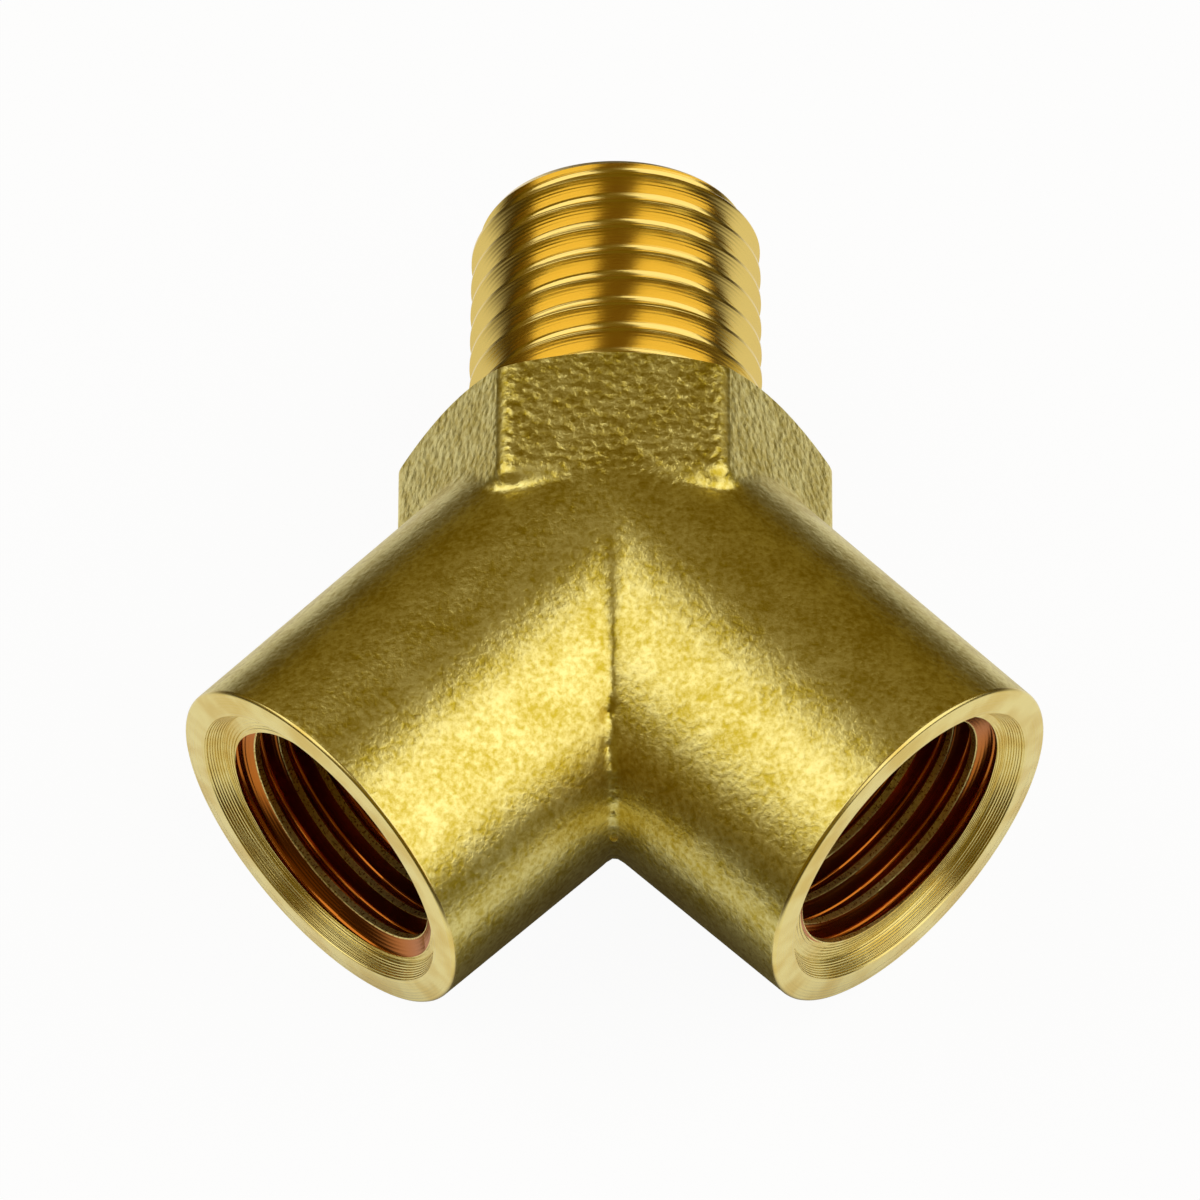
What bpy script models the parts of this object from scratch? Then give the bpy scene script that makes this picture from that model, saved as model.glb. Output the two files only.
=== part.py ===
"""Brass Y pipe fitting: one forged body with a hexagon, a male taper-threaded stem and two tapped legs.

The fitting lies flat, as it rests on a table: +Y runs along the stem to its threaded end,
+X is to the right, +Z is up, and the stem and both legs have their axes in one level plane.
The three axes meet at the junction, from which the lengths below are measured.
"""

import math

import bmesh
import bpy
from mathutils import Matrix, Vector

MM = 0.001

# Male stem, a 1/4-18 taper pipe thread with flattened crests
STEM_LENGTH = 19.85 * MM
STEM_CREST_RADIUS = 6.65 * MM
STEM_TAPER = 1 / 120
STEM_END_RADIUS = 5.85 * MM
STEM_CHAMFER_LENGTH = 1.25 * MM
STEM_BORE_RADIUS = 4.2 * MM
STEM_BORE_CHAMFER = 0.3 * MM
STEM_BORE_PAST_JUNCTION = 1.0 * MM

THREAD_PITCH = 1.411 * MM
THREAD_HEIGHT = 1.0 * MM
THREAD_CREST_FLAT = 0.12 * MM
THREAD_FLANK_ANGLE = math.radians(30)
THREAD_FIRST_CREST = 17.2 * MM
THREAD_STEPS_PER_TURN = 40

# Forged hexagon for the wrench
HEX_ACROSS_FLATS = 17.0 * MM
HEX_START = 1.0 * MM
HEX_END = 7.55 * MM
HEX_CORNER_ROUND = 1.2 * MM
HEX_LOWER_EDGE_ROUND = 0.5 * MM
HEX_TURNED_ANGLE = math.radians(30)
HEX_ROUND_SEGMENTS = 3

# Legs, with the draft that lets the forging leave its die
LEG_ANGLE = math.radians(45)
LEG_LENGTH = 18.3 * MM
LEG_MOUTH_RADIUS = 8.45 * MM
LEG_ROOT_RADIUS = 8.69 * MM
LEG_MOUTH_EDGE_ROUND = 0.18 * MM
LEG_TRIM_HEIGHT = 5.0 * MM

# Tapped sockets in the legs: a groove's middle meets each socket's top line at GROOVE_AT
SINK_RADIUS = 7.2 * MM
SINK_INNER_RADIUS = 6.7 * MM
SINK_DEPTH = 0.75 * MM
TAP_DRILL_RADIUS = 5.7 * MM
TAP_DRILL_DEPTH = 11.5 * MM
TAPPED_DEPTH = 9.6 * MM
TAPPED_CREST_RADIUS = 5.76 * MM
TAPPED_GROOVE_RADIUS = 6.6 * MM
TAPPED_GROOVE_FLAT = 0.1 * MM
TAPPED_STEPS_PER_TURN = 28
RIGHT_GROOVE_AT = 16.18 * MM
LEFT_GROOVE_AT = 15.37 * MM
PASSAGE_RADIUS = 3.8 * MM
DRILL_POINT_HALF_ANGLE = math.radians(59)

TURNED_STEPS = 64
MERGE_DISTANCE = 0.001 * MM
CUTTER_OVERRUN = 2.0 * MM

BRASS_COLOUR = (0.42, 0.33, 0.06, 1.0)
BRASS_ROUGHNESS = 0.42
SHARP_EDGE_ANGLE = math.radians(25)

# Directions of the legs and of the stem, and the junction's place: the frame's origin
# lies on the table under the middle of the fitting
RIGHT_LEG = Vector((math.sin(LEG_ANGLE), -math.cos(LEG_ANGLE), 0.0))
LEFT_LEG = Vector((-math.sin(LEG_ANGLE), -math.cos(LEG_ANGLE), 0.0))
STEM = Vector((0.0, 1.0, 0.0))
UP = Vector((0.0, 0.0, 1.0))
LEG_REACH_BACK = (
    (LEG_LENGTH - LEG_MOUTH_EDGE_ROUND) * math.cos(LEG_ANGLE)
    + (LEG_MOUTH_RADIUS - LEG_MOUTH_EDGE_ROUND) * math.sin(LEG_ANGLE)
    + LEG_MOUTH_EDGE_ROUND
)
JUNCTION = Vector((0.0, (LEG_REACH_BACK - STEM_LENGTH) / 2, LEG_ROOT_RADIUS))


def clear_scene():
    for obj in list(bpy.data.objects):
        bpy.data.objects.remove(obj, do_unlink=True)


def new_collection(name):
    collection = bpy.data.collections.new(name)
    bpy.context.scene.collection.children.link(collection)
    return collection


def axis_turn(direction):
    """Rotation that takes local +Z to a direction in the level plane."""
    return UP.rotation_difference(direction).to_matrix().to_4x4()


def object_from_bmesh(name, bm, collection):
    bmesh.ops.recalc_face_normals(bm, faces=bm.faces)
    mesh = bpy.data.meshes.new(name)
    bm.to_mesh(mesh)
    bm.free()
    obj = bpy.data.objects.new(name, mesh)
    collection.objects.link(obj)
    obj.location = JUNCTION
    return obj


def turned_bmesh(profile, direction):
    """Solid of revolution about a line through the junction.

    The profile holds (radius, distance from the junction) pairs, outermost first. An end that
    stays off the line is closed by a flat disc.
    """
    bm = bmesh.new()
    points = [bm.verts.new((radius, 0.0, distance)) for radius, distance in profile]
    for start, end in zip(points, points[1:]):
        bm.edges.new((start, end))
    bmesh.ops.spin(
        bm,
        geom=list(bm.verts) + list(bm.edges),
        axis=(0.0, 0.0, 1.0),
        angle=math.tau,
        steps=TURNED_STEPS,
    )
    bmesh.ops.remove_doubles(bm, verts=bm.verts, dist=MERGE_DISTANCE)
    close_openings(bm)
    bmesh.ops.transform(bm, matrix=axis_turn(direction), verts=bm.verts)
    return bm


def close_openings(bm):
    open_edges = [edge for edge in bm.edges if edge.is_boundary]
    bmesh.ops.holes_fill(bm, edges=open_edges)


def threaded_bmesh(direction, crest_radius, root_radius, crest_flat, crest_at, foot, end, steps):
    """Right-handed threaded rod about a line through the junction, cut square at both ends.

    One turn's outline is swept up a helix, so that a crest meets the top line at crest_at.
    """
    flank = (crest_radius - root_radius) * math.tan(THREAD_FLANK_ANGLE)
    outline = [
        (crest_radius, -crest_flat / 2),
        (crest_radius, crest_flat / 2),
        (root_radius, crest_flat / 2 + flank),
        (root_radius, THREAD_PITCH - crest_flat / 2 - flank),
        (crest_radius, THREAD_PITCH - crest_flat / 2),
    ]
    start = crest_at - math.ceil((crest_at - foot) / THREAD_PITCH + 1) * THREAD_PITCH
    turns = math.ceil((end - start) / THREAD_PITCH) + 1
    bm = bmesh.new()
    points = [bm.verts.new(direction * (start + along) + UP * radius) for radius, along in outline]
    for first, second in zip(points, points[1:]):
        bm.edges.new((first, second))
    bmesh.ops.spin(
        bm,
        geom=list(bm.verts) + list(bm.edges),
        axis=direction,
        dvec=direction * (THREAD_PITCH / steps),
        angle=math.tau * turns,
        steps=turns * steps,
    )
    bmesh.ops.remove_doubles(bm, verts=bm.verts, dist=MERGE_DISTANCE)
    cut_flat(bm, direction, foot, keep_above=True)
    cut_flat(bm, direction, end, keep_above=False)
    return bm


def cut_flat(bm, direction, distance, keep_above):
    """Cuts a mesh square across a line through the junction and closes the cut."""
    bmesh.ops.bisect_plane(
        bm,
        geom=list(bm.verts) + list(bm.edges) + list(bm.faces),
        plane_co=direction * distance,
        plane_no=direction,
        clear_inner=keep_above,
        clear_outer=not keep_above,
    )
    close_openings(bm)


def add_mirror(obj):
    """Keeps the half at +X and mirrors it, so that the two legs meet in a mitre."""
    mirror = obj.modifiers.new("Mirror", "MIRROR")
    mirror.use_axis = (True, False, False)
    mirror.use_bisect_axis = (True, False, False)
    mirror.bisect_threshold = MERGE_DISTANCE
    mirror.merge_threshold = MERGE_DISTANCE


def add_boolean(obj, operation, other):
    boolean = obj.modifiers.new(other.name, "BOOLEAN")
    boolean.operation = operation
    boolean.solver = "EXACT"
    boolean.object = other
    other.display_type = "WIRE"
    other.hide_render = True


def rounded_edge(radius, distance, size, steps=3):
    """Quarter-round between a face at a distance and a side at a radius, face first."""
    points = []
    for step in range(steps + 1):
        angle = math.pi / 2 * (1 - step / steps)
        points.append((
            radius - size + size * math.cos(angle),
            distance - size + size * math.sin(angle),
        ))
    return points


def build_legs(collection):
    """Both legs: one drafted, turned leg cut level inside the hexagon, then mirrored."""
    root = -LEG_ROOT_RADIUS
    draft = (LEG_ROOT_RADIUS - LEG_MOUTH_RADIUS) / LEG_LENGTH
    profile = rounded_edge(LEG_MOUTH_RADIUS, LEG_LENGTH, LEG_MOUTH_EDGE_ROUND)
    profile += [(LEG_ROOT_RADIUS - draft * root, root)]
    bm = turned_bmesh(profile, RIGHT_LEG)
    cut_flat(bm, STEM, LEG_TRIM_HEIGHT, keep_above=False)
    legs = object_from_bmesh("fitting_body", bm, collection)
    add_mirror(legs)
    return legs


def build_hexagon(collection):
    """Hexagon with flats up and down, rounded corners and a turned chamfer under the thread."""
    length = HEX_END - HEX_START
    bm = bmesh.new()
    bmesh.ops.create_cone(
        bm,
        cap_ends=True,
        segments=6,
        radius1=HEX_ACROSS_FLATS / 2 / math.cos(math.pi / 6),
        radius2=HEX_ACROSS_FLATS / 2 / math.cos(math.pi / 6),
        depth=length,
        matrix=Matrix.Translation((0.0, 0.0, HEX_START + length / 2)) @ Matrix.Rotation(math.pi / 6, 4, "Z"),
    )
    bmesh.ops.transform(bm, matrix=axis_turn(STEM), verts=bm.verts)
    corners = [e for e in bm.edges if abs((e.verts[0].co - e.verts[1].co).dot(STEM)) > length / 2]
    bmesh.ops.bevel(bm, geom=corners, offset=HEX_CORNER_ROUND, segments=HEX_ROUND_SEGMENTS,
                    profile=0.5, affect="EDGES")
    lower = [e for e in bm.edges if max(v.co.dot(STEM) for v in e.verts) < HEX_START + MERGE_DISTANCE]
    bmesh.ops.bevel(bm, geom=lower, offset=HEX_LOWER_EDGE_ROUND, segments=HEX_ROUND_SEGMENTS,
                    profile=0.5, affect="EDGES")
    hexagon = object_from_bmesh("hexagon", bm, collection)

    flat = HEX_ACROSS_FLATS / 2
    foot = HEX_START - CUTTER_OVERRUN
    wide = flat + (HEX_END - foot) / math.tan(HEX_TURNED_ANGLE)
    top = HEX_END + CUTTER_OVERRUN
    narrow = flat - CUTTER_OVERRUN / math.tan(HEX_TURNED_ANGLE)
    blank = turned_bmesh([(narrow, top), (wide, foot)], STEM)
    add_boolean(hexagon, "INTERSECT", object_from_bmesh("hexagon_turning", blank, collection))
    return hexagon


def crest_radius(distance):
    return STEM_CREST_RADIUS + STEM_TAPER * (STEM_LENGTH - distance)


def build_stem(collection):
    """Threaded stem, tapered and chamfered at its end."""
    foot = LEG_TRIM_HEIGHT
    bm = threaded_bmesh(
        STEM, STEM_CREST_RADIUS, STEM_CREST_RADIUS - THREAD_HEIGHT, THREAD_CREST_FLAT,
        THREAD_FIRST_CREST, foot, STEM_LENGTH, THREAD_STEPS_PER_TURN,
    )
    for vert in bm.verts:
        radius = math.hypot(vert.co.x, vert.co.z)
        if radius > MERGE_DISTANCE:
            widen = 1 + (crest_radius(vert.co.y) - STEM_CREST_RADIUS) / radius
            vert.co.x *= widen
            vert.co.z *= widen
    stem = object_from_bmesh("stem", bm, collection)

    chamfer_start = STEM_LENGTH - STEM_CHAMFER_LENGTH
    slope = (crest_radius(chamfer_start) - STEM_END_RADIUS) / STEM_CHAMFER_LENGTH
    below = foot - CUTTER_OVERRUN
    above = STEM_LENGTH + STEM_CHAMFER_LENGTH
    wide = STEM_END_RADIUS + slope * 2 * STEM_CHAMFER_LENGTH
    blank = turned_bmesh([
        (STEM_END_RADIUS - slope * STEM_CHAMFER_LENGTH, above),
        (wide, STEM_LENGTH - 2 * STEM_CHAMFER_LENGTH),
        (wide, below),
    ], STEM)
    add_boolean(stem, "INTERSECT", object_from_bmesh("stem_turning", blank, collection))
    return stem


def build_sockets(collection):
    """Cutter of both sockets: countersink, tap drill with its pointed end, and the passage."""
    outside = LEG_LENGTH + CUTTER_OVERRUN
    flare = (SINK_RADIUS - SINK_INNER_RADIUS) / SINK_DEPTH
    drill_end = LEG_LENGTH - TAP_DRILL_DEPTH
    point = (TAP_DRILL_RADIUS - PASSAGE_RADIUS) / math.tan(DRILL_POINT_HALF_ANGLE)
    lead_in_end = LEG_LENGTH - SINK_DEPTH - (SINK_INNER_RADIUS - TAP_DRILL_RADIUS)
    bm = turned_bmesh([
        (SINK_RADIUS + flare * CUTTER_OVERRUN, outside),
        (SINK_INNER_RADIUS, LEG_LENGTH - SINK_DEPTH),
        (TAP_DRILL_RADIUS, lead_in_end),
        (TAP_DRILL_RADIUS, drill_end),
        (PASSAGE_RADIUS, drill_end - point),
        (PASSAGE_RADIUS, -2 * PASSAGE_RADIUS),
    ], RIGHT_LEG)
    sockets = object_from_bmesh("sockets", bm, collection)
    add_mirror(sockets)
    return sockets


def build_tap(name, direction, groove_at, collection):
    """Cutter of one socket's thread: its crests cut the grooves, its roots leave the lands."""
    bm = threaded_bmesh(
        direction, TAPPED_GROOVE_RADIUS, TAPPED_CREST_RADIUS, TAPPED_GROOVE_FLAT, groove_at,
        LEG_LENGTH - TAPPED_DEPTH, LEG_LENGTH + CUTTER_OVERRUN, TAPPED_STEPS_PER_TURN,
    )
    return object_from_bmesh(name, bm, collection)


def build_stem_bore(collection):
    """Cutter of the stem's bore, with its small outer chamfer and the drill's pointed end."""
    outside = STEM_LENGTH + CUTTER_OVERRUN
    wide = STEM_BORE_RADIUS + STEM_BORE_CHAMFER + CUTTER_OVERRUN
    point = STEM_BORE_RADIUS / math.tan(DRILL_POINT_HALF_ANGLE)
    bm = turned_bmesh([
        (wide, outside),
        (STEM_BORE_RADIUS, STEM_LENGTH - STEM_BORE_CHAMFER),
        (STEM_BORE_RADIUS, -STEM_BORE_PAST_JUNCTION),
        (0.0, -STEM_BORE_PAST_JUNCTION - point),
    ], STEM)
    return object_from_bmesh("stem_bore", bm, collection)


def brass_material():
    material = bpy.data.materials.new("forged_brass")
    material.use_nodes = True
    shader = material.node_tree.nodes["Principled BSDF"]
    shader.inputs["Base Color"].default_value = BRASS_COLOUR
    shader.inputs["Metallic"].default_value = 1.0
    shader.inputs["Roughness"].default_value = BRASS_ROUGHNESS
    return material


def finish_surface(obj):
    """Applies the modifiers and shades the round sides smooth."""
    evaluated = obj.evaluated_get(bpy.context.evaluated_depsgraph_get())
    finished = bpy.data.meshes.new_from_object(evaluated)
    obj.modifiers.clear()
    obj.data = finished
    finished.shade_smooth()
    finished.set_sharp_from_angle(angle=SHARP_EDGE_ANGLE)


def build_fitting():
    clear_scene()
    parts = new_collection("y_pipe_fitting")
    cutters = new_collection("cutters")

    body = build_legs(parts)
    body.data.materials.append(brass_material())
    add_boolean(body, "UNION", build_hexagon(cutters))
    add_boolean(body, "UNION", build_stem(cutters))
    add_boolean(body, "DIFFERENCE", build_sockets(cutters))
    add_boolean(body, "DIFFERENCE", build_tap("right_tap", RIGHT_LEG, RIGHT_GROOVE_AT, cutters))
    add_boolean(body, "DIFFERENCE", build_tap("left_tap", LEFT_LEG, LEFT_GROOVE_AT, cutters))
    add_boolean(body, "DIFFERENCE", build_stem_bore(cutters))
    finish_surface(body)


build_fitting()
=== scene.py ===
import math

import bpy
from mathutils import Matrix, Vector


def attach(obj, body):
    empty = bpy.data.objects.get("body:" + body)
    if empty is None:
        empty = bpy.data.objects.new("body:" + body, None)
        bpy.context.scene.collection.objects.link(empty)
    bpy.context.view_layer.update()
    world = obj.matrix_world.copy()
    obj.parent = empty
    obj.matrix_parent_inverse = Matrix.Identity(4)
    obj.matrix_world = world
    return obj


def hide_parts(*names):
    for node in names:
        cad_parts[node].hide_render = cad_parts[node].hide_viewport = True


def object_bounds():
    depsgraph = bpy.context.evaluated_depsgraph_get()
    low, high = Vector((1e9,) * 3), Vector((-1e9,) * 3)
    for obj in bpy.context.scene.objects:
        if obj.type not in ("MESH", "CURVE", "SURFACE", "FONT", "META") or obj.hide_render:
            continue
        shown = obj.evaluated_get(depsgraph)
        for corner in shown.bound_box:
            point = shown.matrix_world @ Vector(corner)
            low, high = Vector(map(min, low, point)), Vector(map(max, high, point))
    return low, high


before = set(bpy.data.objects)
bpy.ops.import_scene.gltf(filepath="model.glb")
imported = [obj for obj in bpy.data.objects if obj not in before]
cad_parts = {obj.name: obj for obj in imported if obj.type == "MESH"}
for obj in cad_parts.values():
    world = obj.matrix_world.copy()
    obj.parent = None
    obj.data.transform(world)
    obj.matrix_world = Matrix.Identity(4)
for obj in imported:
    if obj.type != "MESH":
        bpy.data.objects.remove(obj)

cad_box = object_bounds()

# The forging
# A slug of brass is hot-pressed between two dies that part on the level of the pipe axes. It comes out
# as two drafted legs at right angles and a hexagon, with soft edges, and is then shot-blasted.
MM = 0.001
STEM_LENGTH = 19.85 * MM
LEG_LENGTH = 18.3 * MM
LEG_MOUTH_RADIUS = 8.45 * MM
LEG_ROOT_RADIUS = 8.69 * MM
LEG_TURN = math.radians(135)
LEG_TRIM_HEIGHT = 5.0 * MM
HEX_ACROSS_FLATS = 17.0 * MM
HEX_START = 1.0 * MM
HEX_END = 7.55 * MM
HEX_CORNER_ROUND = 0.5 * MM
HEX_LOWER_EDGE_ROUND = 0.5 * MM
# How far a piece runs on past the place where it is joined or cut.
ALLOWANCE = 1.0 * MM
CREASE_REACH = 0.45 * MM
FLASH_RADIUS = 0.34 * MM
FLASH_LENGTH = 2.6 * MM
FLASH_OUT = 11.75 * MM
FLASH_DOWN = 1.5 * MM
FLASH_LEAN = math.radians(22)
FORGED_STEPS = 160
FORGED_VOXEL = 0.26 * MM
MERGE_DISTANCE = 0.001 * MM
junction = Vector((0.0, cad_box[1][1] - STEM_LENGTH, LEG_ROOT_RADIUS))
axis_lies_down = Matrix.Rotation(-math.pi / 2, 4, "X")
seam_on_top = Matrix.Rotation(-math.pi / 2, 4, "Z")


def start_from(name):
    """Names the primitive that was just added and goes into edit mode on it."""
    piece = bpy.context.object
    piece.name = name
    piece.data.name = name
    bpy.ops.object.mode_set(mode="EDIT")
    return piece


def pick(piece):
    bpy.ops.object.select_all(action="DESELECT")
    piece.select_set(True)
    bpy.context.view_layer.objects.active = piece


def lay(piece, turn):
    """Lays a piece that was made upright: its axis goes level, turned clockwise from the stem's.

    The side that was drawn at +X comes to lie on top.
    """
    bpy.ops.object.mode_set(mode="OBJECT")
    pick(piece)
    level = Matrix.Rotation(-turn, 4, "Z") @ axis_lies_down @ seam_on_top
    piece.matrix_world = Matrix.Translation(junction) @ level @ piece.matrix_world
    bpy.ops.object.transform_apply(location=True, rotation=True, scale=True)


def select_edges(piece, chosen):
    """Selects the edges that a test of their two ends picks out."""
    bpy.ops.mesh.select_mode(type="EDGE")
    bpy.ops.mesh.select_all(action="DESELECT")
    bpy.ops.object.mode_set(mode="OBJECT")
    points = piece.data.vertices
    for edge in piece.data.edges:
        edge.select = chosen(points[edge.vertices[0]].co, points[edge.vertices[1]].co)
    bpy.ops.object.mode_set(mode="EDIT")


def apply_modifier(piece, kind, **settings):
    pick(piece)
    modifier = piece.modifiers.new(kind.lower(), kind)
    for key, value in settings.items():
        setattr(modifier, key, value)
    bpy.ops.object.modifier_apply(modifier=modifier.name)


def combine(piece, operation, other):
    """Joins or cuts with another piece, which is used up and leaves its material on the new faces."""
    apply_modifier(piece, "BOOLEAN", operation=operation, object=other, material_mode="TRANSFER")
    bpy.data.objects.remove(other)


def new_material(name):
    material = bpy.data.materials.new(name)
    material.use_nodes = True
    return material, material.node_tree.nodes["Principled BSDF"]


def fill_inputs(tree, node, inputs):
    """Gives each named or numbered input its value, or links it to the socket that feeds it."""
    for key, value in inputs.items():
        if isinstance(value, bpy.types.NodeSocket):
            tree.links.new(value, node.inputs[key])
        else:
            node.inputs[key].default_value = value


def add_node(tree, kind, inputs=None, **settings):
    node = tree.nodes.new("ShaderNode" + kind)
    for key, value in settings.items():
        setattr(node, key, value)
    fill_inputs(tree, node, inputs or {})
    return node


def mix_colour(tree, factor, first, second):
    """Mixes two colours. A Mix node keeps those for colours in the inputs 6 and 7, and output 2."""
    node = add_node(tree, "Mix", {"Factor": factor, 6: first, 7: second}, data_type="RGBA")
    return node.outputs[2]


def between(tree, value, low, high):
    """Mask that goes from 0 to 1 as a value goes from the first limit to the second."""
    node = add_node(tree, "MapRange", {
        "Value": value, "From Min": low, "From Max": high,
    }, interpolation_type="SMOOTHSTEP")
    return node.outputs["Result"]


def calculate(tree, operation, first, second=0.0, third=0.0):
    node = add_node(tree, "Math", {0: first, 1: second, 2: third}, operation=operation)
    return node.outputs["Value"]


def new_group(name, inputs, outputs):
    """Starts a node group with named sockets, and returns it with its input and output nodes."""
    group = bpy.data.node_groups.new(name, "ShaderNodeTree")
    for label, kind in inputs:
        group.interface.new_socket(name=label, in_out="INPUT", socket_type="NodeSocket" + kind)
    for label, kind in outputs:
        group.interface.new_socket(name=label, in_out="OUTPUT", socket_type="NodeSocket" + kind)
    return group, group.nodes.new("NodeGroupInput"), group.nodes.new("NodeGroupOutput")


def use_group(tree, group, inputs):
    node = tree.nodes.new("ShaderNodeGroup")
    node.node_tree = group
    fill_inputs(tree, node, inputs)
    return node.outputs


mottle, entry, leave = new_group(
    "mottle", [("Vector", "Vector"), ("Grain Size", "Float")], [("Grain", "Float"), ("Patches", "Float")],
)
GRAINS_PER_PATCH = 6.0
frequency = calculate(mottle, "DIVIDE", 1.0, entry.outputs["Grain Size"])
grain = add_node(mottle, "TexNoise", {
    "Vector": entry.outputs["Vector"], "Scale": frequency, "Detail": 3.0, "Roughness": 0.62,
})
patches = add_node(mottle, "TexNoise", {
    "Vector": entry.outputs["Vector"],
    "Scale": calculate(mottle, "DIVIDE", frequency, GRAINS_PER_PATCH),
    "Detail": 2.0,
})
mottle.links.new(grain.outputs["Fac"], leave.inputs["Grain"])
mottle.links.new(patches.outputs["Fac"], leave.inputs["Patches"])

SKIN_DARK = (0.60, 0.455, 0.035, 1.0)
SKIN_LIGHT = (0.98, 0.87, 0.33, 1.0)
SKIN_ROUGHNESS = 0.32
GRAIN_SIZE = 0.28 * MM
PEBBLE_SIZE = 0.45 * MM
BLAST_DEPTH = 0.025 * MM
GRAIN_SHARE = 0.65
LEG_PEBBLES = 0.3
HEX_PEBBLES = 2.6
HEX_GRAIN = 0.9
EDGE_UPRIGHT = 0.76

skin, shader = new_material("blasted_skin")
tree = skin.node_tree
place = add_node(tree, "TexCoord").outputs["Object"]
marks = use_group(tree, mottle, {"Vector": place, "Grain Size": GRAIN_SIZE})
pebble = add_node(tree, "TexVoronoi", {
    "Vector": place, "Scale": 1 / PEBBLE_SIZE, "Smoothness": 0.5,
}, feature="SMOOTH_F1").outputs["Distance"]
tone = calculate(
    tree, "MULTIPLY_ADD", marks["Grain"], GRAIN_SHARE,
    calculate(tree, "MULTIPLY", marks["Patches"], 1 - GRAIN_SHARE),
)
colour = mix_colour(tree, between(tree, tone, 0.32, 0.68), SKIN_DARK, SKIN_LIGHT)
tree.links.new(colour, shader.inputs["Base Color"])
along = add_node(tree, "SeparateXYZ", {"Vector": place}).outputs["Y"]
past_legs = between(tree, along, junction.y + HEX_START - ALLOWANCE, junction.y + HEX_START + ALLOWANCE)
normal = add_node(tree, "TexCoord").outputs["Normal"]
upright = calculate(tree, "ABSOLUTE", add_node(tree, "SeparateXYZ", {"Vector": normal}).outputs["Z"])
off_edge = calculate(tree, "ABSOLUTE", calculate(tree, "SUBTRACT", upright, EDGE_UPRIGHT))
on_flat = calculate(tree, "MULTIPLY", between(tree, off_edge, 0.12, 0.21), upright)
on_hexagon = calculate(tree, "MULTIPLY", past_legs, on_flat)
pebbled = calculate(tree, "MULTIPLY_ADD", on_hexagon, HEX_PEBBLES, LEG_PEBBLES)
grained = calculate(tree, "MULTIPLY_ADD", on_hexagon, HEX_GRAIN, 1.0)
relief = calculate(tree, "SUBTRACT", calculate(tree, "MULTIPLY", marks["Grain"], grained),
                   calculate(tree, "MULTIPLY", pebble, pebbled))
bump = add_node(tree, "Bump", {"Height": relief, "Strength": 1.0, "Distance": BLAST_DEPTH})
tree.links.new(bump.outputs["Normal"], shader.inputs["Normal"])
shader.inputs["Metallic"].default_value = 1.0
shader.inputs["Roughness"].default_value = SKIN_ROUGHNESS

bpy.ops.object.select_all(action="DESELECT")
leg_depth = LEG_LENGTH + ALLOWANCE + LEG_ROOT_RADIUS
draft = (LEG_ROOT_RADIUS - LEG_MOUTH_RADIUS) / LEG_LENGTH
bpy.ops.mesh.primitive_cone_add(
    vertices=FORGED_STEPS,
    radius1=LEG_ROOT_RADIUS + draft * LEG_ROOT_RADIUS,
    radius2=LEG_MOUTH_RADIUS - draft * ALLOWANCE,
    depth=leg_depth,
    location=(0.0, 0.0, leg_depth / 2 - LEG_ROOT_RADIUS),
)
fitting = start_from("fitting")
fitting.data.materials.append(skin)
lay(fitting, LEG_TURN)
bpy.ops.object.mode_set(mode="EDIT")
bpy.ops.mesh.select_all(action="SELECT")
trim_point = junction + Vector((0.0, LEG_TRIM_HEIGHT, 0.0))
bpy.ops.mesh.bisect(
    plane_co=trim_point, plane_no=(0.0, 1.0, 0.0), threshold=MERGE_DISTANCE, clear_outer=True, use_fill=True,
)
bpy.ops.mesh.select_all(action="SELECT")
bpy.ops.mesh.bisect(
    plane_co=(0.0, 0.0, 0.0), plane_no=(1.0, 0.0, 0.0), threshold=MERGE_DISTANCE, clear_inner=True,
)
bpy.ops.object.mode_set(mode="OBJECT")
apply_modifier(fitting, "MIRROR", merge_threshold=MERGE_DISTANCE)

bpy.ops.object.select_all(action="DESELECT")
hex_depth = HEX_END - HEX_START + ALLOWANCE
bpy.ops.mesh.primitive_cylinder_add(
    vertices=6,
    radius=HEX_ACROSS_FLATS / math.sqrt(3),
    depth=hex_depth,
    location=(0.0, 0.0, HEX_START + hex_depth / 2),
)
hexagon = start_from("hexagon")
hexagon.data.materials.append(skin)
select_edges(hexagon, lambda a, b: abs(a.z - b.z) > hex_depth / 2)
bpy.ops.mesh.bevel(offset=HEX_CORNER_ROUND, segments=4, affect="EDGES")
select_edges(hexagon, lambda a, b: max(a.z, b.z) < MERGE_DISTANCE - hex_depth / 2)
bpy.ops.mesh.bevel(offset=HEX_LOWER_EDGE_ROUND, segments=4, affect="EDGES")
lay(hexagon, 0.0)
combine(fitting, "UNION", hexagon)
apply_modifier(fitting, "REMESH", mode="VOXEL", voxel_size=FORGED_VOXEL)
apply_modifier(fitting, "SMOOTH", factor=0.5, iterations=4)
bpy.ops.object.mode_set(mode="EDIT")
bpy.ops.mesh.select_mode(type="VERT")
bpy.ops.mesh.select_all(action="DESELECT")
bpy.ops.object.mode_set(mode="OBJECT")
for point in fitting.data.vertices:
    point.select = abs(point.co.x) < CREASE_REACH and point.co.y < junction.y
bpy.ops.object.mode_set(mode="EDIT")
bpy.ops.mesh.vertices_smooth(factor=0.5, repeat=3)
bpy.ops.object.mode_set(mode="OBJECT")

bpy.ops.object.select_all(action="DESELECT")
bpy.ops.mesh.primitive_cone_add(
    vertices=16,
    radius1=FLASH_RADIUS,
    radius2=FLASH_RADIUS / 2,
    depth=FLASH_LENGTH,
    location=junction + Vector((0.0, -FLASH_OUT, -FLASH_DOWN)),
    rotation=(FLASH_LEAN, 0.0, 0.0),
)
flash = start_from("flash")
flash.data.materials.append(skin)
bpy.ops.object.mode_set(mode="OBJECT")
bpy.ops.object.transform_apply(location=True, rotation=True, scale=True)
combine(fitting, "UNION", flash)


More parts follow.
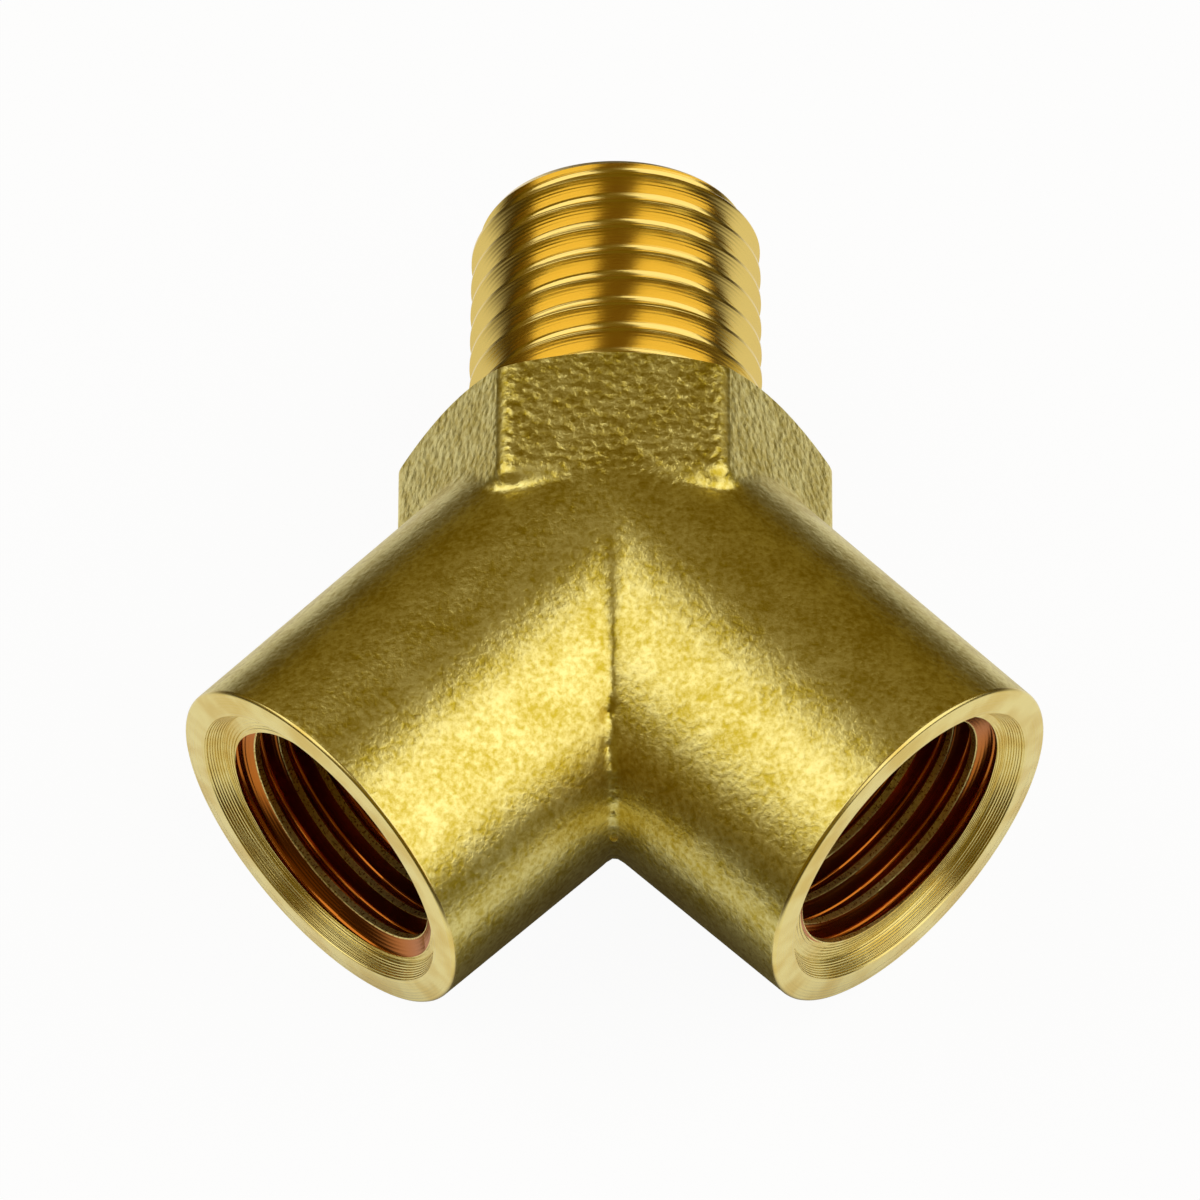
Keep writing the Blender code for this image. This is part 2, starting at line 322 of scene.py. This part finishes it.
# The turned shoulder of the hexagon
# The stem's end of the forging is turned on a lathe: the top of the hexagon is faced flat, and its
# corners are cut back to a cone, which leaves each flat with an arched edge.
SHOULDER_ANGLE = math.radians(30)
TURNED_STEPS = 144


def trace(name, outline):
    """Draws an open outline of (radius, distance along the axis) points, one extrusion after another."""
    bpy.ops.object.select_all(action="DESELECT")
    radius, distance = outline[0]
    bpy.ops.mesh.primitive_plane_add(size=MM)
    piece = start_from(name)
    bpy.ops.mesh.select_mode(type="VERT")
    bpy.ops.mesh.merge(type="CENTER")
    bpy.ops.transform.translate(value=(radius, 0.0, distance))
    for start, end in zip(outline, outline[1:]):
        step = (end[0] - start[0], 0.0, end[1] - start[1])
        bpy.ops.mesh.extrude_vertices_move(TRANSFORM_OT_translate={"value": step})
    bpy.ops.object.mode_set(mode="OBJECT")
    return piece


def close_up(piece):
    """Merges doubles, closes each open ring with a flat disc and turns all faces outwards."""
    pick(piece)
    bpy.ops.object.mode_set(mode="EDIT")
    bpy.ops.mesh.select_all(action="SELECT")
    bpy.ops.mesh.remove_doubles(threshold=MERGE_DISTANCE)
    bpy.ops.mesh.fill_holes(sides=0)
    bpy.ops.mesh.select_all(action="SELECT")
    bpy.ops.mesh.normals_make_consistent(inside=False)
    bpy.ops.object.mode_set(mode="OBJECT")


def turn_solid(name, outline, material):
    """Spins an outline into a turned solid with a flat disc at either end."""
    piece = trace(name, outline)
    apply_modifier(piece, "SCREW", steps=TURNED_STEPS, render_steps=TURNED_STEPS, use_merge_vertices=True,
                   merge_threshold=MERGE_DISTANCE)
    close_up(piece)
    piece.data.materials.append(material)
    return piece


def axis_place(tree, turn):
    """Object coordinates turned into those of a pipe axis: Z along it, and the top line at -Y."""
    place = add_node(tree, "TexCoord").outputs["Object"]
    return add_node(tree, "Mapping", {
        "Vector": place, "Location": junction, "Rotation": (-math.pi / 2, 0.0, -turn),
    }, vector_type="TEXTURE").outputs["Vector"]


round_place, entry, leave = new_group(
    "round_place", [("Vector", "Vector")], [("Radius", "Float"), ("Along", "Float"), ("Turns", "Float")],
)
apart = add_node(round_place, "SeparateXYZ", {"Vector": entry.outputs["Vector"]}).outputs
across = calculate(round_place, "SQRT", calculate(
    round_place, "ADD",
    calculate(round_place, "MULTIPLY", apart["X"], apart["X"]),
    calculate(round_place, "MULTIPLY", apart["Y"], apart["Y"]),
))
around = calculate(
    round_place, "DIVIDE",
    calculate(round_place, "ARCTAN2", apart["X"], calculate(round_place, "MULTIPLY", apart["Y"], -1.0)),
    math.tau,
)
round_place.links.new(across, leave.inputs["Radius"])
round_place.links.new(apart["Z"], leave.inputs["Along"])
round_place.links.new(around, leave.inputs["Turns"])

tool_lines, entry, leave = new_group(
    "tool_lines", [("Position", "Float"), ("Spacing", "Float")], [("Height", "Float")],
)
EVEN_LINES = 0.25
line = calculate(tool_lines, "DIVIDE", entry.outputs["Position"], entry.outputs["Spacing"])
uneven = add_node(tool_lines, "TexNoise", {"W": line, "Scale": 1.0, "Detail": 1.0}, noise_dimensions="1D")
even = calculate(tool_lines, "SINE", calculate(tool_lines, "MULTIPLY", line, math.tau))
height = calculate(tool_lines, "MULTIPLY_ADD", even, EVEN_LINES, uneven.outputs["Fac"])
tool_lines.links.new(height, leave.inputs["Height"])

TURNED_COLOUR = (0.88, 0.75, 0.29, 1.0)
TURNED_WORN = (0.76, 0.57, 0.15, 1.0)
TURNED_ROUGHNESS = 0.24
TURNED_LINE = 0.16 * MM
FINE_LINES = 0.012 * MM
COARSE_LINES = 0.04 * MM


def turned_brass(name, turn, line_depth):
    """Bright turned brass, with the rings that the tool leaves round the axis of a pipe end."""
    material, shader = new_material(name)
    tree = material.node_tree
    place = axis_place(tree, turn)
    spot = use_group(tree, round_place, {"Vector": place})
    ring = calculate(tree, "ADD", spot["Radius"], spot["Along"])
    height = use_group(tree, tool_lines, {"Position": ring, "Spacing": TURNED_LINE})["Height"]
    marks = use_group(tree, mottle, {"Vector": place, "Grain Size": GRAIN_SIZE})
    wear = between(tree, marks["Patches"], 0.35, 0.7)
    tree.links.new(mix_colour(tree, wear, TURNED_COLOUR, TURNED_WORN), shader.inputs["Base Color"])
    bump = add_node(tree, "Bump", {"Height": height, "Strength": 1.0, "Distance": line_depth})
    tree.links.new(bump.outputs["Normal"], shader.inputs["Normal"])
    shader.inputs["Metallic"].default_value = 1.0
    shader.inputs["Roughness"].default_value = TURNED_ROUGHNESS
    return material


turned_stem = turned_brass("turned_brass_stem", 0.0, FINE_LINES)
flat_radius = HEX_ACROSS_FLATS / 2
shoulder_reach = flat_radius + 4 * ALLOWANCE
facing = turn_solid("facing", [
    (flat_radius, HEX_END),
    (shoulder_reach, HEX_END - (shoulder_reach - flat_radius) * math.tan(SHOULDER_ANGLE)),
    (shoulder_reach, HEX_END + 2 * ALLOWANCE),
], turned_stem)
lay(facing, 0.0)
combine(fitting, "DIFFERENCE", facing)


# The threaded stem
# The stem carries a taper pipe thread that is chased on the lathe. Its flanks are bright, and each
# crest is a narrow flat that the tool leaves a little torn. The end is chamfered and bored through.
STEM_CREST_RADIUS = 6.65 * MM
STEM_TAPER = 1 / 120
STEM_END_RADIUS = 5.85 * MM
STEM_CHAMFER_LENGTH = 1.25 * MM
STEM_BORE_RADIUS = 4.2 * MM
STEM_BORE_CHAMFER = 0.3 * MM
STEM_BORE_PAST_JUNCTION = 1.0 * MM
THREAD_PITCH = 1.411 * MM
THREAD_CREST_FLAT = 0.16 * MM
THREAD_ROOT_ROUND = 0.3 * MM
THREAD_FLANK_ANGLE = math.radians(30)
THREAD_FIRST_CREST = 17.2 * MM
THREAD_STEPS = 120
ROOT_STEPS = 8
DRILL_POINT_HALF_ANGLE = math.radians(59)
DRILL_WEB = 0.4 * MM

THREAD_COLOUR = (0.86, 0.65, 0.19, 1.0)
CREST_COLOUR = (0.96, 0.84, 0.34, 1.0)
CREST_DARK = (0.45, 0.30, 0.04, 1.0)
THREAD_ROUGHNESS = 0.19
CREST_ROUGHNESS = 0.33
THREAD_LINE = 0.08 * MM
THREAD_LINE_DEPTH = 0.012 * MM
TORN_SIZE = 0.12 * MM
TORN_HEIGHT = 3.0
CREST_FADE_START = 0.08 * MM
CREST_FADE_END = 0.02 * MM


def threaded_brass(name, turn, flank_colour, crest_low, crest_high):
    """Chased brass: bright flanks with lines along the helix, and crests a little torn by the tool.

    The crests lie past a radius that is given as a range, where the mask for them fades in.
    """
    material, shader = new_material(name)
    tree = material.node_tree
    place = axis_place(tree, turn)
    spot = use_group(tree, round_place, {"Vector": place})
    rise = calculate(tree, "MULTIPLY", spot["Turns"], THREAD_PITCH)
    helix = calculate(tree, "SUBTRACT", spot["Along"], rise)
    height = use_group(tree, tool_lines, {"Position": helix, "Spacing": THREAD_LINE})["Height"]
    crest = between(tree, spot["Radius"], crest_low, crest_high)
    torn = use_group(tree, mottle, {"Vector": place, "Grain Size": TORN_SIZE})["Grain"]
    crest_colour = mix_colour(tree, between(tree, torn, 0.35, 0.5), CREST_DARK, CREST_COLOUR)
    tree.links.new(mix_colour(tree, crest, flank_colour, crest_colour), shader.inputs["Base Color"])
    rough = add_node(tree, "MapRange", {
        "Value": crest, "To Min": THREAD_ROUGHNESS, "To Max": CREST_ROUGHNESS,
    }).outputs["Result"]
    tree.links.new(rough, shader.inputs["Roughness"])
    relief = calculate(tree, "MULTIPLY_ADD", calculate(tree, "MULTIPLY", torn, crest), TORN_HEIGHT, height)
    bump = add_node(tree, "Bump", {"Height": relief, "Strength": 0.4, "Distance": THREAD_LINE_DEPTH})
    tree.links.new(bump.outputs["Normal"], shader.inputs["Normal"])
    shader.inputs["Metallic"].default_value = 1.0
    return material


bright = threaded_brass(
    "thread_brass", 0.0, THREAD_COLOUR,
    STEM_CREST_RADIUS - CREST_FADE_START, STEM_CREST_RADIUS - CREST_FADE_END,
)


def thread_rod(name, land, land_flat, root_round, side, start, end, land_at, material):
    """Right-handed threaded rod between two heights, with the middle of a land at the given one.

    The grooves have straight flanks and a round root. They go inwards from the lands where the side
    is -1, and outwards where it is 1, as on the tap for a socket.
    """
    middle = THREAD_PITCH / 2
    sharp_depth = (middle - land_flat / 2) / math.tan(THREAD_FLANK_ANGLE)
    round_depth = sharp_depth - root_round / math.sin(THREAD_FLANK_ANGLE)
    sweep = math.pi / 2 - THREAD_FLANK_ANGLE
    outline = [(land, -land_flat / 2), (land, land_flat / 2)]
    for step in range(ROOT_STEPS + 1):
        lean = sweep * (2 * step / ROOT_STEPS - 1)
        depth = round_depth + root_round * math.cos(lean)
        outline.append((land + side * depth, middle + root_round * math.sin(lean)))
    outline.append((land, THREAD_PITCH - land_flat / 2))
    first = land_at - math.ceil((land_at - start) / THREAD_PITCH + 1.5) * THREAD_PITCH
    turns = math.ceil((end - first) / THREAD_PITCH + 1.5)
    rod = trace(name, [(radius, first + distance) for radius, distance in outline])
    apply_modifier(rod, "SCREW", steps=THREAD_STEPS, render_steps=THREAD_STEPS, screw_offset=THREAD_PITCH,
                   iterations=turns, use_merge_vertices=True, merge_threshold=MERGE_DISTANCE)
    bpy.ops.object.mode_set(mode="EDIT")
    bpy.ops.mesh.select_all(action="SELECT")
    bpy.ops.mesh.remove_doubles(threshold=MERGE_DISTANCE)
    for height, outer in ((start, False), (end, True)):
        bpy.ops.mesh.select_all(action="SELECT")
        bpy.ops.mesh.bisect(plane_co=(0.0, 0.0, height), plane_no=(0.0, 0.0, 1.0), threshold=MERGE_DISTANCE,
                            clear_inner=not outer, clear_outer=outer)
    bpy.ops.object.mode_set(mode="OBJECT")
    close_up(rod)
    rod.data.materials.append(material)
    return rod


stem_foot = HEX_END - ALLOWANCE
stem = thread_rod(
    "stem", STEM_CREST_RADIUS, THREAD_CREST_FLAT, THREAD_ROOT_ROUND, -1,
    stem_foot, STEM_LENGTH, THREAD_FIRST_CREST, bright,
)
taper_length = STEM_LENGTH - stem_foot
apply_modifier(stem, "SIMPLE_DEFORM", deform_method="TAPER", deform_axis="Z",
               factor=-STEM_TAPER * taper_length / STEM_CREST_RADIUS)
chamfer_slope = (STEM_CREST_RADIUS - STEM_END_RADIUS) / STEM_CHAMFER_LENGTH
blank_radius = STEM_CREST_RADIUS + ALLOWANCE
blank = turn_solid("blank", [
    (blank_radius, stem_foot - ALLOWANCE),
    (blank_radius, STEM_LENGTH - STEM_CHAMFER_LENGTH - ALLOWANCE / chamfer_slope),
    (STEM_END_RADIUS - ALLOWANCE * chamfer_slope, STEM_LENGTH + ALLOWANCE),
], bright)
combine(stem, "INTERSECT", blank)
lay(stem, 0.0)
combine(fitting, "UNION", stem)

bore_point = (STEM_BORE_RADIUS - DRILL_WEB) / math.tan(DRILL_POINT_HALF_ANGLE)
stem_bore = turn_solid("stem_bore", [
    (DRILL_WEB, -STEM_BORE_PAST_JUNCTION - bore_point),
    (STEM_BORE_RADIUS, -STEM_BORE_PAST_JUNCTION),
    (STEM_BORE_RADIUS, STEM_LENGTH - STEM_BORE_CHAMFER),
    (STEM_BORE_RADIUS + STEM_BORE_CHAMFER + ALLOWANCE, STEM_LENGTH + ALLOWANCE),
], turned_stem)
lay(stem_bore, 0.0)
combine(fitting, "DIFFERENCE", stem_bore)


# The two sockets
# Each leg's mouth is faced, countersunk, drilled and tapped with the same pipe thread. The tap drill
# stops short, and a narrower passage goes on to meet the others under the hexagon.
MOUTH_EDGE_ROUND = 0.18 * MM
SINK_RADIUS = 7.2 * MM
SINK_INNER_RADIUS = 6.7 * MM
SINK_DEPTH = 0.75 * MM
TAP_DRILL_RADIUS = 5.7 * MM
TAP_DRILL_DEPTH = 11.5 * MM
TAPPED_DEPTH = 9.6 * MM
SOCKET_CREST_RADIUS = 5.76 * MM
SOCKET_CREST_FLAT = 0.29 * MM
SOCKET_ROOT_ROUND = 0.22 * MM
PASSAGE_RADIUS = 3.8 * MM
# The tapped bore's colour is a painted shade: brass darkened to red-brown to stand in for the shade deep in
# the socket and the reflections between its walls.
TAPPED_SHADE_COLOUR = (0.52, 0.16, 0.02, 1.0)
# Where a land of each thread crosses the leg's top line, measured along the axis.
RIGHT_CREST = 15.47 * MM
LEFT_CREST = 16.07 * MM

drill_end = LEG_LENGTH - TAP_DRILL_DEPTH
drill_point = (TAP_DRILL_RADIUS - PASSAGE_RADIUS) / math.tan(DRILL_POINT_HALF_ANGLE)
sink_slope = (SINK_RADIUS - SINK_INNER_RADIUS) / SINK_DEPTH
outside = LEG_LENGTH + 2 * ALLOWANCE


def quarter_round(radius, distance, size, steps=4):
    """Points of the rounded edge between a face at a distance and a side at a radius."""
    turns = [math.pi / 2 * (1 - step / steps) for step in range(steps + 1)]
    return [
        (radius - size + size * math.cos(turn), distance - size + size * math.sin(turn)) for turn in turns
    ]


for side, turn, crest_at in (("right", LEG_TURN, RIGHT_CREST), ("left", -LEG_TURN, LEFT_CREST)):
    turned = turned_brass("turned_brass_" + side, turn, FINE_LINES)
    ringed = turned_brass("ringed_brass_" + side, turn, COARSE_LINES)
    # The socket's threads and passage get the painted shade colour on their flanks.
    shaded_tapped = threaded_brass(
        "shaded_tapped_brass_" + side, turn, TAPPED_SHADE_COLOUR,
        SOCKET_CREST_RADIUS + CREST_FADE_START, SOCKET_CREST_RADIUS + CREST_FADE_END,
    )
    mouth = turn_solid(
        "mouth_facing",
        quarter_round(LEG_MOUTH_RADIUS, LEG_LENGTH, MOUTH_EDGE_ROUND) + [
            (LEG_MOUTH_RADIUS + ALLOWANCE, LEG_LENGTH - 2 * MOUTH_EDGE_ROUND),
            (LEG_MOUTH_RADIUS + ALLOWANCE, outside),
        ],
        turned,
    )
    lay(mouth, turn)
    combine(fitting, "DIFFERENCE", mouth)
    drill = turn_solid("drill", [
        (PASSAGE_RADIUS, -PASSAGE_RADIUS / 2),
        (PASSAGE_RADIUS, drill_end - drill_point),
        (TAP_DRILL_RADIUS, drill_end),
        (TAP_DRILL_RADIUS, LEG_LENGTH - SINK_DEPTH / 2),
    ], shaded_tapped)
    lay(drill, turn)
    combine(fitting, "DIFFERENCE", drill)
    sink = turn_solid("sink", [
        (SINK_INNER_RADIUS, LEG_LENGTH - SINK_DEPTH),
        (SINK_RADIUS + sink_slope * 2 * ALLOWANCE, outside),
    ], ringed)
    lay(sink, turn)
    combine(fitting, "DIFFERENCE", sink)
    tap = thread_rod(
        "tap", SOCKET_CREST_RADIUS, SOCKET_CREST_FLAT, SOCKET_ROOT_ROUND, 1,
        LEG_LENGTH - TAPPED_DEPTH, LEG_LENGTH, crest_at, shaded_tapped,
    )
    lay(tap, turn)
    combine(fitting, "DIFFERENCE", tap)

SHARP_EDGE = math.radians(32)
pick(fitting)
bpy.ops.object.shade_smooth_by_angle(angle=SHARP_EDGE)
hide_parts("fitting_body")
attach(fitting, "root")


# The studio
# A white paper sheet under two soft boxes in a dim, warm room. The brass mirrors the sheet as white
# only where it looks steeply down on it, and as dark between the legs, where no light gets in. A long
# lens looks down on the fitting from the open side of its legs.
VIEW_TILT = math.radians(34.045)
VIEW_YAW = math.radians(0.67)
VIEW_ROLL = math.radians(-0.227)
VIEW_DISTANCE = 600 * MM
VIEW_WIDTH = 53.07 * MM
VIEW_RIGHT = 0.66 * MM
VIEW_UP = -0.101 * MM
SENSOR = 36.0
WHITE = (1.0, 1.0, 1.0, 1.0)
DARK_REFLECTION = (0.05, 0.035, 0.006, 1.0)
ROOM_COLOUR = (0.155, 0.105, 0.003, 1.0)
SHEET_SEEN = 0.95
SHEET_REFLECTED = 0.6
STEEP_LOOK = 0.48
FLAT_LOOK = 0.78
SHADE_DEPTH = 0.95
SHADE_INNER = 7.0 * MM
SHADE_OUTER = 14.0 * MM
BOX_DISTANCE = 0.5

bpy.ops.object.select_all(action="DESELECT")
bpy.ops.mesh.primitive_plane_add(size=3.0, location=(0.0, 0.0, 0.0))
floor = bpy.context.object
floor.name = "floor"
paper, shader = new_material("white_sheet")
tree = paper.node_tree
path = add_node(tree, "LightPath").outputs
mirrored = calculate(tree, "MAXIMUM", path["Is Glossy Ray"], path["Is Transmission Ray"])
glowing = calculate(
    tree, "MAXIMUM",
    calculate(tree, "MULTIPLY", path["Is Camera Ray"], SHEET_SEEN),
    calculate(tree, "MULTIPLY", mirrored, SHEET_REFLECTED),
)
place = add_node(tree, "TexCoord").outputs["Object"]
crotch = (0.0, junction.y - FLASH_OUT, 0.0)
from_crotch = add_node(tree, "VectorMath", {0: place, 1: crotch}, operation="DISTANCE").outputs["Value"]
shaded = calculate(tree, "MULTIPLY", between(tree, from_crotch, SHADE_OUTER, SHADE_INNER), SHADE_DEPTH)
grazing = add_node(tree, "LayerWeight", {"Blend": 0.5}).outputs["Facing"]
dark = calculate(tree, "MAXIMUM", between(tree, grazing, STEEP_LOOK, FLAT_LOOK), shaded)
colour = mix_colour(tree, calculate(tree, "MULTIPLY", dark, path["Is Glossy Ray"]), WHITE, DARK_REFLECTION)
tree.links.new(colour, shader.inputs["Base Color"])
shader.inputs["Roughness"].default_value = 0.9
shader.inputs["Specular IOR Level"].default_value = 0.0
glow = add_node(tree, "Emission", {"Color": colour, "Strength": 1.0})
sheet = add_node(tree, "MixShader", {
    0: glowing, 1: shader.outputs["BSDF"], 2: glow.outputs["Emission"],
})
tree.links.new(sheet.outputs["Shader"], tree.nodes["Material Output"].inputs["Surface"])
floor.data.materials.append(paper)

world = bpy.data.worlds.new("studio")
bpy.context.scene.world = world
world.use_nodes = True
world.node_tree.nodes["Background"].inputs["Color"].default_value = ROOM_COLOUR


def soft_box(name, elevation, side, back, width, height, watts):
    """Long area lamp over one side of the fitting, parallel to the stem and facing the junction."""
    bpy.ops.object.light_add(type="AREA")
    lamp = bpy.context.object
    lamp.name = name
    lamp.data.shape = "RECTANGLE"
    lamp.data.size = width
    lamp.data.size_y = height
    lamp.data.energy = watts
    direction = Vector((side * math.cos(elevation), back, math.sin(elevation))).normalized()
    lamp.location = junction + direction * BOX_DISTANCE
    lamp.rotation_euler = direction.to_track_quat("Z", "Y").to_euler()


soft_box(
    "right_box", elevation=math.radians(41), side=1, back=-0.17, width=0.78, height=0.68, watts=1.9,
)
soft_box(
    "left_box", elevation=math.radians(48), side=-1, back=0.08, width=0.54, height=0.5, watts=0.98,
)

back = Vector((0.0, -math.sin(VIEW_TILT), math.cos(VIEW_TILT)))
right = Vector((1.0, 0.0, 0.0))
up = Vector((0.0, math.cos(VIEW_TILT), math.sin(VIEW_TILT)))
right, back = (
    right * math.cos(VIEW_YAW) - back * math.sin(VIEW_YAW),
    right * math.sin(VIEW_YAW) + back * math.cos(VIEW_YAW),
)
right, up = (
    right * math.cos(VIEW_ROLL) + up * math.sin(VIEW_ROLL),
    up * math.cos(VIEW_ROLL) - right * math.sin(VIEW_ROLL),
)
bpy.ops.object.camera_add()
camera = bpy.context.object
camera.data.sensor_width = SENSOR
camera.data.lens = SENSOR * VIEW_DISTANCE / VIEW_WIDTH
camera.data.clip_start = 0.01
camera.data.clip_end = 10.0
camera.matrix_world = Matrix.Translation(
    junction + back * VIEW_DISTANCE - right * VIEW_RIGHT - up * VIEW_UP
) @ Matrix((right, up, back)).transposed().to_4x4()
bpy.context.scene.camera = camera
bpy.context.scene.view_settings.view_transform = "Standard"
